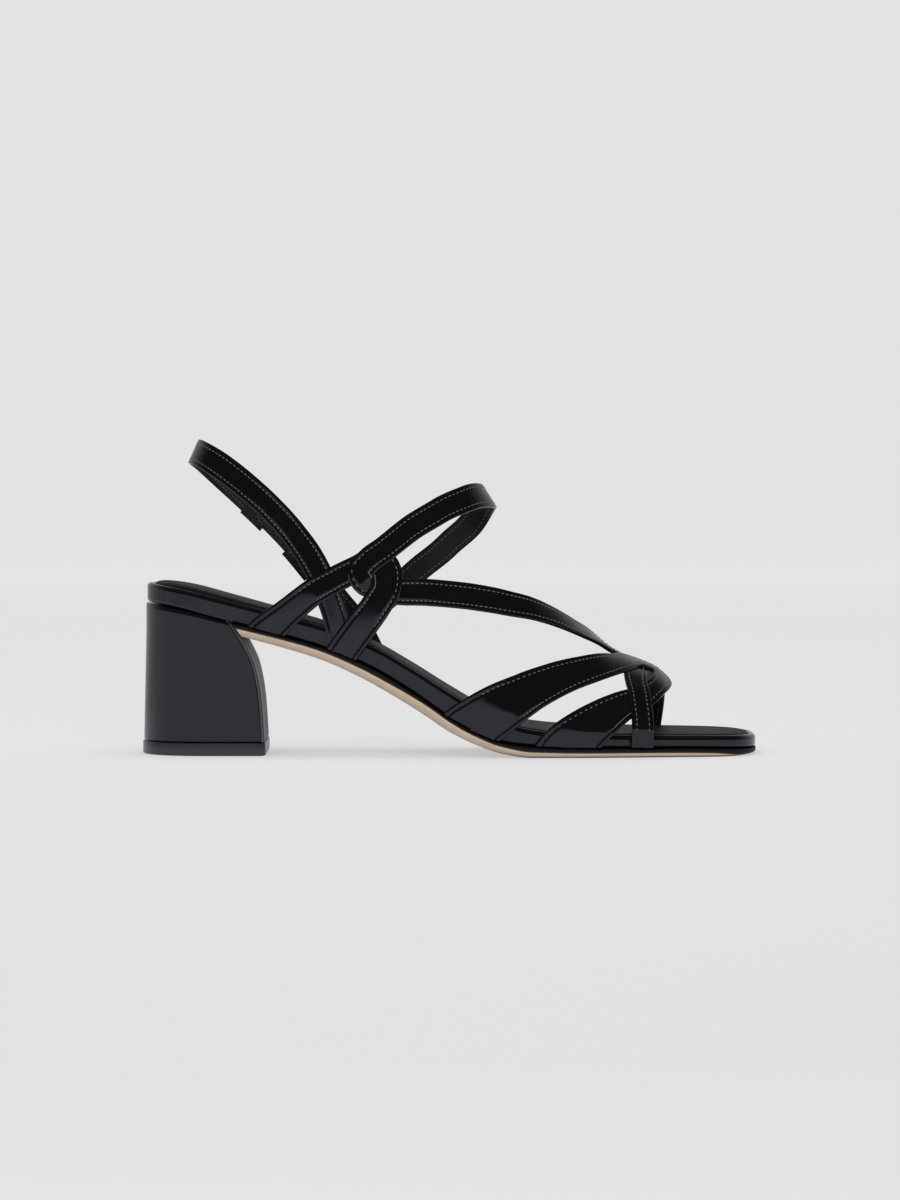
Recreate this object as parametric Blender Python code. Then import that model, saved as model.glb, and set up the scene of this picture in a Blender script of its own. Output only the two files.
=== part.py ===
"""Heeled slingback sandal, right shoe, at rest on a level floor.

Millimetres until the last step: x runs from the heel's back to the toe, y to the inner side, z up from
the floor. The outer side of the foot is at -y. The tables hold a shoe of the stated sizes, and LONG, WIDE
and HIGH stretch them.
"""

import bpy
import numpy as np

# Driving sizes
LENGTH = 240.0
BALL_WIDTH = 75.5
HEEL_HEIGHT = 60.0
STRAP = 1.8
LAYER = 1.45
GAP = 0.35
LONG = LENGTH / 240.0
WIDE = BALL_WIDTH / 75.5
HIGH = HEEL_HEIGHT / 60.0
HEEL_ROUND = 27.0
TOE_ROUND = 28.0
SOLE_START = 39.3
TIP = 5.0
TIP_FRONT = 48.2
HEEL_HALF = 24.2
HEEL_FLARE = 2.3

# Footbed along the foot: top of the rim, depth of the rim, both upright
BED = (
    # x, top, rim
    (0, 67.5, 7.7),
    (15, 65.0, 7.7),
    (35, 60.1, 7.9),
    (55, 54.9, 7.8),
    (75, 49.2, 8.2),
    (90, 42.9, 8.5),
    (105, 34.4, 8.9),
    (120, 25.0, 9.7),
    (135, 16.5, 8.9),
    (150, 11.2, 6.4),
    (165, 9.5, 5.4),
    (190, 8.7, 4.9),
    (220, 8.3, 4.8),
    (240, 8.0, 5.0),
)

# Underside of the outsole, flat on the floor under the ball
SOLE = (
    # x, bottom
    (34, 47.8),
    (40, 46.3),
    (55, 42.3),
    (70, 37.6),
    (84, 31.4),
    (100, 22.5),
    (110, 16.3),
    (120, 9.7),
    (130, 4.9),
    (140, 1.6),
    (152, 0.0),
    (226, 0.0),
    (240, 0.7),
)

# Plan of the footbed from the line y = 0, before heel and toe are rounded off
PLAN = (
    # x, outer, inner
    (0, 27.5, 27.5),
    (27, 27.5, 27.5),
    (50, 28.0, 27.0),
    (75, 28.6, 25.0),
    (100, 30.2, 23.6),
    (125, 34.0, 26.0),
    (150, 37.3, 33.0),
    (170, 37.4, 37.4),
    (190, 34.8, 38.2),
    (212, 31.0, 36.4),
    (240, 28.0, 33.0),
)

# Last above the footbed: height and sideways place of its ridge
RIDGE = (
    # x, z, y
    (40, 215, 0),
    (90, 168, 0),
    (110, 139, 0),
    (125, 115, 1),
    (134, 100.5, 1),
    (145, 83, 2),
    (158, 64, 3),
    (172, 49, 4),
    (185, 37.8, 5),
    (193, 34.2, 5),
    (199, 32.0, 5),
    (206, 27.0, 5),
    (216, 20, 5),
    (240, 14, 4),
)

# Front face of the heel block
BREAST = (
    # z, x
    (5, 47.9),
    (14, 47.4),
    (24, 46.5),
    (35, 44.3),
    (43, 40.7),
    (48, 37.7),
    (53, 34.4),
    (60, 31.0),
)

# Straps on the last: the middle line's x and z, the side (-1 outer, 0 over the ridge, 1 inner), the width,
# and how many layers it lies above the foot. A height of 0 is the strap's foot on the outsole.
REAR_LOOP = (
    # x, z, side, width, lift
    (48.7, 0, -1, 13.2, 1),
    (58.2, 57.0, -1, 11.2, 1),
    (67.2, 64.1, -1, 10.6, 1),
    (76.4, 69.3, -1, 10.4, 0.4),
    (84.4, 73.4, -1, 10.0, 0),
    (90.0, 76.6, -1, 9.0, 0.1),
    (94.8, 76.0, -1, 8.4, 0.5),
    (97.0, 71.2, -1, 8.6, 0.9),
    (96.0, 65.2, -1, 9.8, 1),
    (91.9, 59.4, -1, 12.0, 1),
    (85.3, 50.3, -1, 12.4, 1),
    (77.9, 0, -1, 12.4, 1),
)
INSTEP = (
    # x, z, side, width, lift
    (77.5, 0, 1, 10.2, 0),
    (84.6, 51.4, 1, 10.2, 0),
    (92, 58, 1, 10.2, 0),
    (106, 70.2, 1, 10.2, 0),
    (119, 81, 1, 10.3, 0),
    (128.5, 90.2, 1, 10.5, 0),
    (134.2, 100.5, 0, 10.8, 0),
    (126, 99.7, -1, 10.6, 0),
    (115, 94.8, -1, 10.4, 0),
    (104, 88.0, -1, 10.4, 0.2),
    (94, 80.6, -1, 10.2, 0.8),
    (87.5, 75.9, -1, 9.0, 1),
    (85.0, 71.8, -1, 7.8, 1),
    (86.9, 68.2, -1, 7.6, 0.9),
    (91.6, 65.8, -1, 8.6, 0.5),
    (99, 64.2, -1, 10.2, 0),
    (110, 63.9, -1, 10.5, 0),
    (126, 62.4, -1, 10.4, 0),
    (144, 58.9, -1, 10.2, 0),
    (158, 54.5, -1, 10.0, 0),
    (170, 48.4, -1, 10.0, 0),
    (180, 41.4, -1, 10.2, 0.2),
    (187, 36.4, 0, 10.4, 0.45),
    (194, 33.6, 1, 9.6, 0.45),
)
FRONT_LOOP = (
    # x, z, side, width, lift
    (127.6, 0, -1, 22, 0),
    (139.5, 19.2, -1, 19.8, 0),
    (149.5, 24.9, -1, 16.6, 0),
    (160.5, 29.7, -1, 14.1, 0.3),
    (172, 32.7, -1, 12.3, 0.8),
    (184, 33.9, -1, 11.2, 1),
    (193.6, 33.4, -1, 10.4, 1),
    (200.2, 30.7, -1, 8.8, 0.7),
    (200.2, 26.0, -1, 8.2, 0.3),
    (194.8, 22.8, -1, 10.6, 0),
    (186, 19.3, -1, 12.4, 0),
    (178, 14.6, -1, 15.4, 0),
    (165.5, 0, -1, 20.5, 0),
)
TOE_STRAP = (
    # x, z, side, width, lift
    (194.2, 0, -1, 8.6, 0.2),
    (194.0, 13.5, -1, 8.6, 1),
    (192.8, 22, -1, 8.8, 1),
    (191.8, 28, -1, 9.4, 0.4),
    (194.4, 33.6, 0, 10.2, 0),
    (200.6, 25, 1, 10.0, 0),
    (200.6, 17, 1, 9.8, 0),
    (199.0, 0, 1, 9.8, 0),
)

# Slingback round the ankle, from its outer foot to its inner foot, clear of the last
SLING = (
    # x, y, z, width
    (78.2, -29.4, 38.0, 10.6),
    (76.8, -29.4, 50, 10.4),
    (74.0, -29.2, 60, 10.3),
    (70.2, -28.8, 69.2, 10.4),
    (65.6, -27.9, 78.0, 10.4),
    (59.2, -26.4, 86.8, 10.2),
    (51.0, -25.2, 95.9, 10.2),
    (41.0, -23.0, 105.0, 10.4),
    (31.0, -18.6, 112.7, 10.5),
    (23.4, -10.4, 117.2, 10.2),
    (20.6, 0, 117.8, 10.2),
    (23.8, 10.4, 114.7, 10.2),
    (30.6, 18, 108.0, 10.2),
    (40.5, 22.4, 98.6, 10.2),
    (50, 24.2, 89.3, 10.2),
    (58.6, 25.4, 80.1, 10.2),
    (66.4, 26.0, 70.4, 10.0),
    (74.4, 26.1, 60.3, 9.6),
    (83.0, 25.7, 50.4, 9.8),
    (91.4, 24.9, 33.6, 10.4),
)
SLING_LEAN = 24.0
# Elastic on the inner half of the slingback: where it shows, from x to x, how far it runs under the
# leather, its thickness, and how much narrower it is
ELASTIC_FROM, ELASTIC_TO = 48.2, 57.6
ELASTIC_UNDER = 4.0
ELASTIC_THICK = 1.3
ELASTIC_NARROWER = 1.2


def smooth(xs, ys, at):
    """A curve through rows that doesn't swing past them."""
    xs = np.asarray(xs, float)
    ys = np.asarray(ys, float)
    step = np.diff(xs)
    rise = np.diff(ys) / step
    slope = np.concatenate([rise[:1], np.zeros(len(xs) - 2), rise[-1:]])
    before, after = 2 * step[1:] + step[:-1], step[1:] + 2 * step[:-1]
    same = rise[:-1] * rise[1:] > 0
    with np.errstate(divide="ignore", invalid="ignore"):
        mean = (before + after) / (before / rise[:-1] + after / rise[1:])
    slope[1:-1] = np.where(same, mean, 0)
    at = np.clip(np.asarray(at, float), xs[0], xs[-1])
    i = np.clip(np.searchsorted(xs, at, side="right") - 1, 0, len(step) - 1)
    t = (at - xs[i]) / step[i]
    flat = ys[i] * (1 + 2 * t) * (1 - t) ** 2 + ys[i + 1] * t * t * (3 - 2 * t)
    return flat + step[i] * (slope[i] * t * (1 - t) ** 2 + slope[i + 1] * t * t * (t - 1))


def flowing(xs, ys, at):
    """A rounder curve through rows, for the run of a strap."""
    xs = np.asarray(xs, float)
    ys = np.asarray(ys, float)
    slope = np.gradient(ys, xs)
    i = np.clip(np.searchsorted(xs, at, side="right") - 1, 0, len(xs) - 2)
    step = xs[i + 1] - xs[i]
    t = (at - xs[i]) / step
    flat = ys[i] * (1 + 2 * t) * (1 - t) ** 2 + ys[i + 1] * t * t * (3 - 2 * t)
    return flat + step * (slope[i] * t * (1 - t) ** 2 + slope[i + 1] * t * t * (t - 1))


def column(table, k, x):
    return smooth([row[0] for row in table], [row[k] for row in table], np.asarray(x) / LONG)


def bed_top(x):
    return HIGH * column(BED, 1, x)


def bed_bottom(x):
    return bed_top(x) - column(BED, 2, x)


def plan(x):
    """The footbed's outer and inner edge, as y, with the heel and toe rounded off."""
    outer, inner = WIDE * column(PLAN, 1, x), WIDE * column(PLAN, 2, x)
    heel = np.clip((HEEL_ROUND * LONG - x) / (HEEL_ROUND * LONG), 0, 1)
    toe = np.clip((x - LENGTH + TOE_ROUND * LONG) / (TOE_ROUND * LONG), 0, 1)
    half = (outer + inner) / 2 * np.sqrt(1 - heel**2) * np.cbrt(1 - toe**3)
    middle = (inner - outer) / 2
    return middle - half, middle + half


def stations(start, count_heel=9, count_toe=10, pitch=6.0):
    """Places along the foot, closer together where the plan turns."""
    heel = HEEL_ROUND * LONG
    toe = LENGTH - TOE_ROUND * LONG
    ends = heel * (1 - np.cos(np.linspace(0, np.pi / 2, count_heel)))
    tips = toe + TOE_ROUND * LONG * np.sin(np.linspace(0, np.pi / 2, count_toe)) ** (2 / 3)
    first = ends if start <= 0 else np.array([start])
    middle = np.linspace(first[-1], toe, int((toe - first[-1]) / pitch) + 1)
    return np.concatenate([first[:-1], middle[:-1], tips])


def mesh_object(name, points, faces, colour, rough):
    mesh = bpy.data.meshes.new(name)
    mesh.from_pydata([tuple(p) for p in points], [], [tuple(f) for f in faces])
    mesh.validate()
    mesh.update()
    mesh.shade_smooth()
    mesh.set_sharp_from_angle(angle=np.radians(40))
    obj = bpy.data.objects.new(name, mesh)
    bpy.context.scene.collection.objects.link(obj)
    material = bpy.data.materials.new(name)
    material.use_nodes = True
    shader = material.node_tree.nodes["Principled BSDF"]
    shader.inputs["Base Color"].default_value = (*colour, 1)
    shader.inputs["Roughness"].default_value = rough
    shader.inputs["Metallic"].default_value = 0.0
    mesh.materials.append(material)
    return obj


def sides(rings, count):
    """Faces between one ring of points and the next."""
    faces = []
    for r in range(rings - 1):
        for i in range(count):
            j = (i + 1) % count
            faces.append((r * count + i, r * count + j, (r + 1) * count + j, (r + 1) * count + i))
    return faces


def slab(name, xs, rings, colour, rough, round_heel=True):
    """A layer of the shoe: rings round the plan, each set in from its edge, from the bottom to the top."""
    low, high = plan(xs)
    middle = (low + high) / 2
    first = 1 if round_heel else 0
    outer = np.stack([xs[first:-1], low[first:-1]], 1)
    inner = np.stack([xs[first:-1], high[first:-1]], 1)[::-1]
    rim = np.concatenate([outer, [[xs[-1], middle[-1]]], inner])
    if round_heel:
        rim = np.concatenate([rim, [[xs[0], middle[0]]]])
    along = np.roll(rim, -1, 0) - np.roll(rim, 1, 0)
    if not round_heel:
        along[0] = rim[1] - rim[0]
        along[-1] = rim[-1] - rim[-2]
    along /= np.linalg.norm(along, axis=1)[:, None]
    inward = np.stack([-along[:, 1], along[:, 0]], 1)
    points = []
    for inset, height in rings:
        spread = np.clip((LENGTH - rim[:, :1]) / (26 * LONG), 0.1, 1) if inset < 0 else 1.0
        place = rim + inward * inset * spread
        if not round_heel:
            place[[0, -1], 0] = xs[0]
        points.append(np.column_stack([place, height(place[:, 0])]))
    count = len(rim)
    faces = sides(len(rings), count)
    tip = len(outer)
    cells = [(i, i + 1, 2 * tip - i - 1, 2 * tip - i) for i in range(tip - 1)]
    cells.append((tip - 1, tip, tip + 1))
    if round_heel:
        cells.append((count - 1, 0, 2 * tip))
    top = (len(rings) - 1) * count
    faces += [tuple(k for k in cell[::-1]) for cell in cells]
    faces += [tuple(top + k for k in cell) for cell in cells]
    return mesh_object(name, np.concatenate(points), faces, colour, rough)


def over_bed(rise, bulge=0.0):
    """Height of a ring near the footbed's top, a little fuller under the heel."""
    return lambda x: bed_top(x) + rise + bulge * np.clip((80 * LONG - x) / (60 * LONG), 0, 1)


def under_bed(rise):
    return lambda x: bed_bottom(x) + rise


def over_sole(rise):
    return lambda x: HIGH * column(SOLE, 1, x) + rise


def footbed():
    rings = (
        (3.0, under_bed(0)),
        (1.0, under_bed(0.1)),
        (0.2, under_bed(0.7)),
        (0, under_bed(1.7)),
        (0, over_bed(-2.2)),
        (0.3, over_bed(-1.1)),
        (1.0, over_bed(-0.3)),
        (1.9, over_bed(0)),
        (2.5, over_bed(-0.3)),
        (2.6, over_bed(-1.2)),
    )
    return slab("footbed", stations(0), rings, (0.012, 0.012, 0.014), 0.12)


def insole_sock():
    rings = (
        (3.5, over_bed(-0.85)),
        (3.0, over_bed(-0.6)),
        (3.0, over_bed(-0.1)),
        (3.5, over_bed(0.25, 0.2)),
        (5.0, over_bed(0.5, 0.7)),
        (8.0, over_bed(0.6, 1.2)),
    )
    return slab("insole_sock", stations(0), rings, (0.02, 0.02, 0.022), 0.35)


def outsole():
    floor, ledge = over_sole(0), under_bed(-GAP)
    rings = (
        (2.6, floor),
        (0.6, over_sole(0.2)),
        (-0.7, lambda x: 0.45 * ledge(x) + 0.55 * floor(x)),
        (-1.2, lambda x: 0.7 * ledge(x) + 0.3 * floor(x)),
        (-1.3, under_bed(-GAP - 0.4)),
        (-1.0, ledge),
    )
    return slab("outsole", stations(SOLE_START * LONG), rings, (0.62, 0.47, 0.35), 0.5, round_heel=False)


def heel_ring(back, front, half, corner, count=13):
    """Plan of the heel at one height: round back, straight sides, flat breast with small corners."""
    deep = min(24.0 * LONG, front - back - corner - 1)
    turn = np.linspace(0, np.pi / 2, count)
    spine = np.stack([back + deep * (1 - np.sin(turn) ** 0.92), -half * np.cos(turn) ** 0.92], 1)
    spine = spine[::-1]
    side = [[back + deep + (front - corner - back - deep) * k, -half] for k in (0.5, 1.0)]
    bend = np.linspace(0, np.pi / 2, 5)[1:]
    nose = np.stack([front - corner + corner * np.sin(bend), -half + corner * (1 - np.cos(bend))], 1)
    cross = [[front, -half * k] for k in (0.5, 0.0)]
    lower = np.concatenate([spine, side, nose, cross])
    upper = lower[1:-1][::-1] * [1, -1]
    return np.concatenate([lower, upper])


def heel_block():
    levels = np.concatenate([[0, 0.02], np.linspace(0.08, 0.97, 12), [1.0]])
    foot = TIP + GAP

    def ring(z, inset=0.0):
        rise = np.clip((z - foot) / (52 * HIGH), 0, 1)
        front = float(smooth([r[0] for r in BREAST], [r[1] for r in BREAST], z / HIGH)) * LONG
        half = WIDE * (HEEL_HALF + HEEL_FLARE * rise)
        return heel_ring(0.6 + inset, front - inset, half - inset, 2.6)

    count = len(ring(foot))
    top = np.full(count, 50.0)
    for _ in range(40):
        x = np.array([ring(z)[k, 0] for k, z in enumerate(top)])
        top = bed_bottom(x) - GAP - 0.1
    points = []
    for t in levels:
        inset = 0.5 if t in (0, 1.0) else 0.0
        for k in range(count):
            z = foot + (top[k] - foot) * t
            points.append((*ring(z, inset)[k], z))
    half = count // 2
    cells = [(0, 1, count - 1)]
    cells += [(i, i + 1, count - i - 1, count - i) for i in range(1, half - 1)]
    cells.append((half - 1, half, half + 1))
    base = (len(levels) - 1) * count
    faces = sides(len(levels), count)
    faces += [cell[::-1] for cell in cells]
    faces += [tuple(base + k for k in cell) for cell in cells]
    return mesh_object("heel_block", points, faces, (0.016, 0.016, 0.02), 0.15)


def heel_tip():
    points = []
    levels = ((0.6, 0), (0, 0.5), (0, TIP - 0.4), (0.4, TIP))
    for inset, z in levels:
        edge = heel_ring(-0.2 + inset, TIP_FRONT * LONG - inset, WIDE * (HEEL_HALF + 0.7) - inset, 2.8)
        points += [(*p, z) for p in edge]
    count = len(points) // len(levels)
    faces = sides(len(levels), count)
    faces.append(tuple(range(count))[::-1])
    faces.append(tuple(range(len(points) - count, len(points))))
    return mesh_object("heel_tip", points, faces, (0.02, 0.02, 0.02), 0.5)


def last(x, around):
    """A point of the last: 0 is the outer rim, 90 the ridge, 180 the inner rim, then straight down."""
    low, high = plan(x)
    middle = WIDE * column(RIDGE, 2, x)
    reach = np.cos(np.radians(np.clip(around, 0, 180)))
    out = np.where(reach > 0, middle - low, high - middle) + GAP + 0.1
    base = bed_top(x)
    tall = HIGH * column(RIDGE, 1, x) - base
    below = np.radians(np.maximum(np.maximum(-around, around - 180), 0))
    z = base + tall * (np.sin(np.radians(np.clip(around, 0, 180))) - below)
    return np.stack([x + 0 * z, middle - out * reach, z], -1)


def foot_level(x):
    return bed_bottom(x) + 0.15


def around_of(x, z, side):
    """Where a strap at this height lies round the last."""
    if side == 0:
        return 90.0
    base = float(bed_top(x))
    share = (max(z, float(foot_level(x))) - base) / (HIGH * float(column(RIDGE, 1, x)) - base)
    turn = np.degrees(np.arcsin(min(share, 1)) if share > 0 else share)
    return turn if side < 0 else 180 - turn


def ribbon(name, inner, outer):
    """A strap from the rows of points of its inner and its outer face."""
    rings = np.concatenate([inner, outer[:, ::-1]], 1)
    length, count = rings.shape[:2]
    columns = count // 2 - 1
    faces = sides(length, count)
    for base, up in ((0, False), ((length - 1) * count, True)):
        for k in range(columns):
            cell = (base + k, base + k + 1, base + count - 2 - k, base + count - 1 - k)
            faces.append(cell if up else cell[::-1])
    return mesh_object(name, rings.reshape(-1, 3), faces, (0.01, 0.01, 0.012), 0.1)


def outside(x, around):
    """Where the last faces at this place."""
    d = 0.05
    along = last(x + d, around) - last(x - d, around)
    up = last(x, around + d) - last(x, around - d)
    out = np.cross(along, up)
    return out / np.linalg.norm(out, axis=-1)[..., None]


def strap(name, rows, pitch=3.2):
    """A strap that lies on the last. An end with no height runs on past its foot and is cut off along it."""
    xs = np.array([row[0] * LONG for row in rows])
    turns = np.array([around_of(x, row[1] * HIGH, row[2]) for x, row in zip(xs, rows)])
    knots = last(xs, turns)
    run = np.concatenate([[0], np.cumsum(np.linalg.norm(np.diff(knots, axis=0), axis=1))])
    cut = [row[1] == 0 for row in (rows[0], rows[-1])]
    more = 14.0

    def path(at):
        """x, turn, width and lift along the strap, straight on past its ends."""
        inside = np.clip(at, 0, run[-1])
        x, turn = flowing(run, xs, inside), flowing(run, turns, inside)
        for end, near in ((0.0, 1.0), (run[-1], run[-1] - 1.0)):
            past = np.where((at < 0) if end == 0 else (at > run[-1]), np.abs(at - end), 0)
            x = x + past * (flowing(run, xs, end) - flowing(run, xs, near))
            turn = turn + past * (flowing(run, turns, end) - flowing(run, turns, near))
        width = smooth(run, [row[3] for row in rows], inside)
        lift = smooth(run, [row[4] * LAYER for row in rows], inside)
        return x, turn, width, lift

    def edge(at, share, steps=4):
        """x, turn and lift of the line that runs at this share of the width."""
        x, turn, width, lift = path(at)
        heading = last(*path(at + 0.2)[:2]) - last(*path(at - 0.2)[:2])
        side = np.cross(outside(x, turn), heading)
        d = 0.05
        for _ in range(steps):
            along = (last(x + d, turn) - last(x - d, turn)) / (2 * d)
            up = (last(x, turn + d) - last(x, turn - d)) / (2 * d)
            out = outside(x, turn)
            side = side - out * (side * out).sum(-1)[:, None]
            side = side / np.linalg.norm(side, axis=-1)[:, None]
            aa, ab, bb = (along * along).sum(-1), (along * up).sum(-1), (up * up).sum(-1)
            sa, sb = (side * along).sum(-1), (side * up).sum(-1)
            far = width * share / steps / (aa * bb - ab * ab)
            x, turn = x + (sa * bb - sb * ab) * far, turn + (sb * aa - sa * ab) * far
        return x, turn, lift

    shares = np.linspace(-0.5, 0.5, 4)
    count = int(run[-1] / pitch) + 1
    lines = []
    for share in shares:
        fine = np.linspace(-more if cut[0] else 0, run[-1] + (more if cut[1] else 0), 600)
        x, turn, lift = edge(fine, share)
        above = last(x, turn)[:, 2] > foot_level(x)
        first = fine[np.argmax(above)] if cut[0] else 0.0
        final = fine[len(fine) - 1 - np.argmax(above[::-1])] if cut[1] else run[-1]
        at = np.linspace(0, run[-1], count)
        at = at + first * np.clip(1 - at / 30, 0, 1)
        at = at + (final - run[-1]) * np.clip(1 - (run[-1] - at) / 30, 0, 1)
        x, turn, lift = edge(at, share)
        lines.append((last(x, turn), outside(x, turn), lift))
    inner = np.stack([p + n * up[:, None] for p, n, up in lines], 1)
    outer = np.stack([p + n * (up[:, None] + STRAP) for p, n, up in lines], 1)
    return ribbon(name, inner, outer)


def sling(name, begin, end, inset=0.0, thick=STRAP, narrow=0.0, pitch=4.2):
    """A length of the slingback, between two shares of its run."""
    knots = np.array([[row[0] * LONG, row[1] * WIDE, row[2] * HIGH] for row in SLING])
    run = np.concatenate([[0], np.cumsum(np.linalg.norm(np.diff(knots, axis=0), axis=1))])
    at = np.linspace(begin * run[-1], end * run[-1], max(4, int((end - begin) * run[-1] / pitch) + 1))
    middle = np.stack([flowing(run, knots[:, k], at) for k in range(3)], 1)
    near = np.stack([flowing(run, knots[:, k], np.clip(at + 0.3, 0, run[-1])) for k in range(3)], 1)
    back = np.stack([flowing(run, knots[:, k], np.clip(at - 0.3, 0, run[-1])) for k in range(3)], 1)
    heading = near - back
    heading /= np.linalg.norm(heading, axis=1)[:, None]
    lean = np.array([np.sin(np.radians(SLING_LEAN)), 0, np.cos(np.radians(SLING_LEAN))])
    side = lean - np.outer(heading @ lean, [1, 1, 1]) * heading
    side /= -np.linalg.norm(side, axis=1)[:, None]
    out = np.cross(heading, side)
    width = smooth(run, [row[3] for row in SLING], at) - narrow
    square = np.clip(1 - (middle[:, 2] - bed_top(middle[:, 0])) / 10, 0, 1)
    level = np.sign(side[:, :1]) * np.array([1.0, 0, 0])
    side = side * (1 - square[:, None]) + level * square[:, None]
    shares = np.linspace(-0.5, 0.5, 4)
    inner = middle[:, None] + side[:, None] * (shares * width[:, None])[..., None] + inset * out[:, None]
    outer = inner + thick * out[:, None]
    for face in (inner, outer):
        face[..., 2] = np.maximum(face[..., 2], foot_level(face[..., 0]))
    return ribbon(name, inner, outer)


def share_at(x):
    """Share of the slingback's run where its inner half passes this x."""
    knots = np.array([row[:3] for row in SLING])
    run = np.concatenate([[0], np.cumsum(np.linalg.norm(np.diff(knots, axis=0), axis=1))])
    inner = knots[:, 1] >= 0
    return float(np.interp(x, knots[inner, 0], run[inner] / run[-1]))


def build():
    for obj in list(bpy.data.objects):
        bpy.data.objects.remove(obj)
    parts = [footbed(), insole_sock(), outsole(), heel_block(), heel_tip()]
    upper = strap("upper", INSTEP)
    joined = [
        strap("rear_loop", REAR_LOOP),
        strap("front_loop", FRONT_LOOP),
        strap("toe_strap", TOE_STRAP),
        sling("sling_outer", 0, share_at(ELASTIC_FROM)),
        sling("sling_inner", share_at(ELASTIC_TO), 1),
    ]
    for piece in joined:
        piece.hide_render = True
        piece.display_type = "WIRE"
        join = upper.modifiers.new(piece.name, "BOOLEAN")
        join.operation = "UNION"
        join.solver = "EXACT"
        join.use_self = True
        join.object = piece
    begin = share_at(ELASTIC_FROM - ELASTIC_UNDER)
    end = share_at(ELASTIC_TO + ELASTIC_UNDER)
    elastic = sling("sling_elastic", begin, end, -ELASTIC_THICK - GAP, ELASTIC_THICK, ELASTIC_NARROWER)
    parts += [upper, elastic]
    every = np.array([v.co for obj in parts + joined for v in obj.data.vertices])
    low, high = every.min(0), every.max(0)
    origin = np.array([(low[0] + high[0]) / 2, (low[1] + high[1]) / 2, low[2]])
    for obj in parts + joined:
        for vertex in obj.data.vertices:
            vertex.co = [0.001 * (c - o) for c, o in zip(vertex.co, origin)]


build()
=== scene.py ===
"""Looks of a heeled slingback sandal, a right shoe in black patent leather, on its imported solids."""

import bpy
import numpy as np
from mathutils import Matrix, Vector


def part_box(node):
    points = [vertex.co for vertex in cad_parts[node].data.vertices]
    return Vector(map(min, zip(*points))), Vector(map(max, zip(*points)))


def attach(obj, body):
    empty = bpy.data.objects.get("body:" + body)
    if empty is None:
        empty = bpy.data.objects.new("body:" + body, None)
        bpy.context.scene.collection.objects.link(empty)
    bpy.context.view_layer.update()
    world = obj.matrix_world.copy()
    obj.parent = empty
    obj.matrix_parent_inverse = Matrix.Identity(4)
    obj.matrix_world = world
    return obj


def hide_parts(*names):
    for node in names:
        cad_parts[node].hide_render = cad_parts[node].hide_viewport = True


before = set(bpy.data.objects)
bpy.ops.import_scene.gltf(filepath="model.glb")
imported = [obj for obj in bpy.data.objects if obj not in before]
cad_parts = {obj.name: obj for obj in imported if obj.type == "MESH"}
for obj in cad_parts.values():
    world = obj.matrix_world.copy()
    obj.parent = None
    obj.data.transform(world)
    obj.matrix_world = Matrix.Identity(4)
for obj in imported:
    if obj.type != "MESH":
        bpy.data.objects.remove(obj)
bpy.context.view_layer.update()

# Camera
# A level side view of the outer side from two metres away, a little above the shoe, with a long lens.
VIEW_DISTANCE = 2.0
VIEW_UP = np.radians(1.8)
VIEW_AIM = np.array([0.0, 0.0, 0.060])
PHOTO_HIGH = 1200
METRES_PER_PIXEL = 0.3934e-3
SENSOR_WIDE = 36.0
camera = bpy.data.objects.new("camera", bpy.data.cameras.new("camera"))
bpy.context.scene.collection.objects.link(camera)
camera.location = VIEW_AIM + VIEW_DISTANCE * np.array([0, -np.cos(VIEW_UP), np.sin(VIEW_UP)])
camera.rotation_euler = (np.pi / 2 - VIEW_UP, 0, 0)
camera.data.sensor_width = SENSOR_WIDE
camera.data.lens = SENSOR_WIDE * VIEW_DISTANCE / (PHOTO_HIGH * METRES_PER_PIXEL)
camera.data.clip_end = 100.0
bpy.context.scene.camera = camera
bpy.context.scene.view_settings.view_transform = "Standard"

# Floor and light
# A pale studio floor under three soft lamps, in a room that is bright behind the shoe and dark behind the
# camera. The glossy leather mirrors the floor and the room, but not the lamps.
FLOOR_GREY = (0.765, 0.765, 0.765)
FLOOR_MATT = (0.26, 0.26, 0.26)
FLOOR_FRONT, FLOOR_BACK = -30.0, 30.0
FLOOR_HALF = 15.0
FLOOR_COOL = (0.70, 0.71, 0.88)
FLOOR_WARM = (0.55, 0.54, 0.55)
COOL_TO, WARM_FROM = -0.05, 0.3
FLOOR_NEAR, FLOOR_FAR = 0.557, 0.745
NEAR_BEFORE = 1.0
FAR_OFF = 3.5
SHADE_REACH = 0.05
SHADE_LEAST = 0.78
WHITE = (1.0, 1.0, 1.0)
ROOM_DARK = (0.004, 0.004, 0.004)
ROOM_LIGHT = (0.45, 0.45, 0.455)
ROOM_BACK = (-0.10, 0.80)
ROOM_DIMS = (0.30, 0.80)
ROOM_DIMMEST = 0.12
ROOM_TOP = (0.90, 0.99)
ROOM_TOP_LIGHT = 0.10
HORIZON = (0.008, 0.012)
LAMP_AIM = np.array([0, 0, 0.05])
LAMPS = (
    # name, place, size, watts
    ("key_lamp", (-0.7, -1.3, 1.7), 0.6, 10.0),
    ("top_lamp", (0.05, 0.1, 1.6), 0.8, 9.0),
    ("fill_lamp", (0.1, -2.2, 0.9), 1.2, 14.0),
)


def new_material(name, colour, rough):
    """A named material with a Principled shader, and its node tree and shader."""
    material = bpy.data.materials.new(name)
    material.use_nodes = True
    shader = material.node_tree.nodes["Principled BSDF"]
    shader.inputs["Base Color"].default_value = (*colour, 1)
    shader.inputs["Roughness"].default_value = rough
    return material, material.node_tree, shader


def place_in(tree, space):
    """The x, y and z of the place, or in a world of the direction, that a shader looks at."""
    place = tree.nodes.new("ShaderNodeTexCoord")
    split = tree.nodes.new("ShaderNodeSeparateXYZ")
    tree.links.new(place.outputs[space], split.inputs[0])
    return split.outputs


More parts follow.
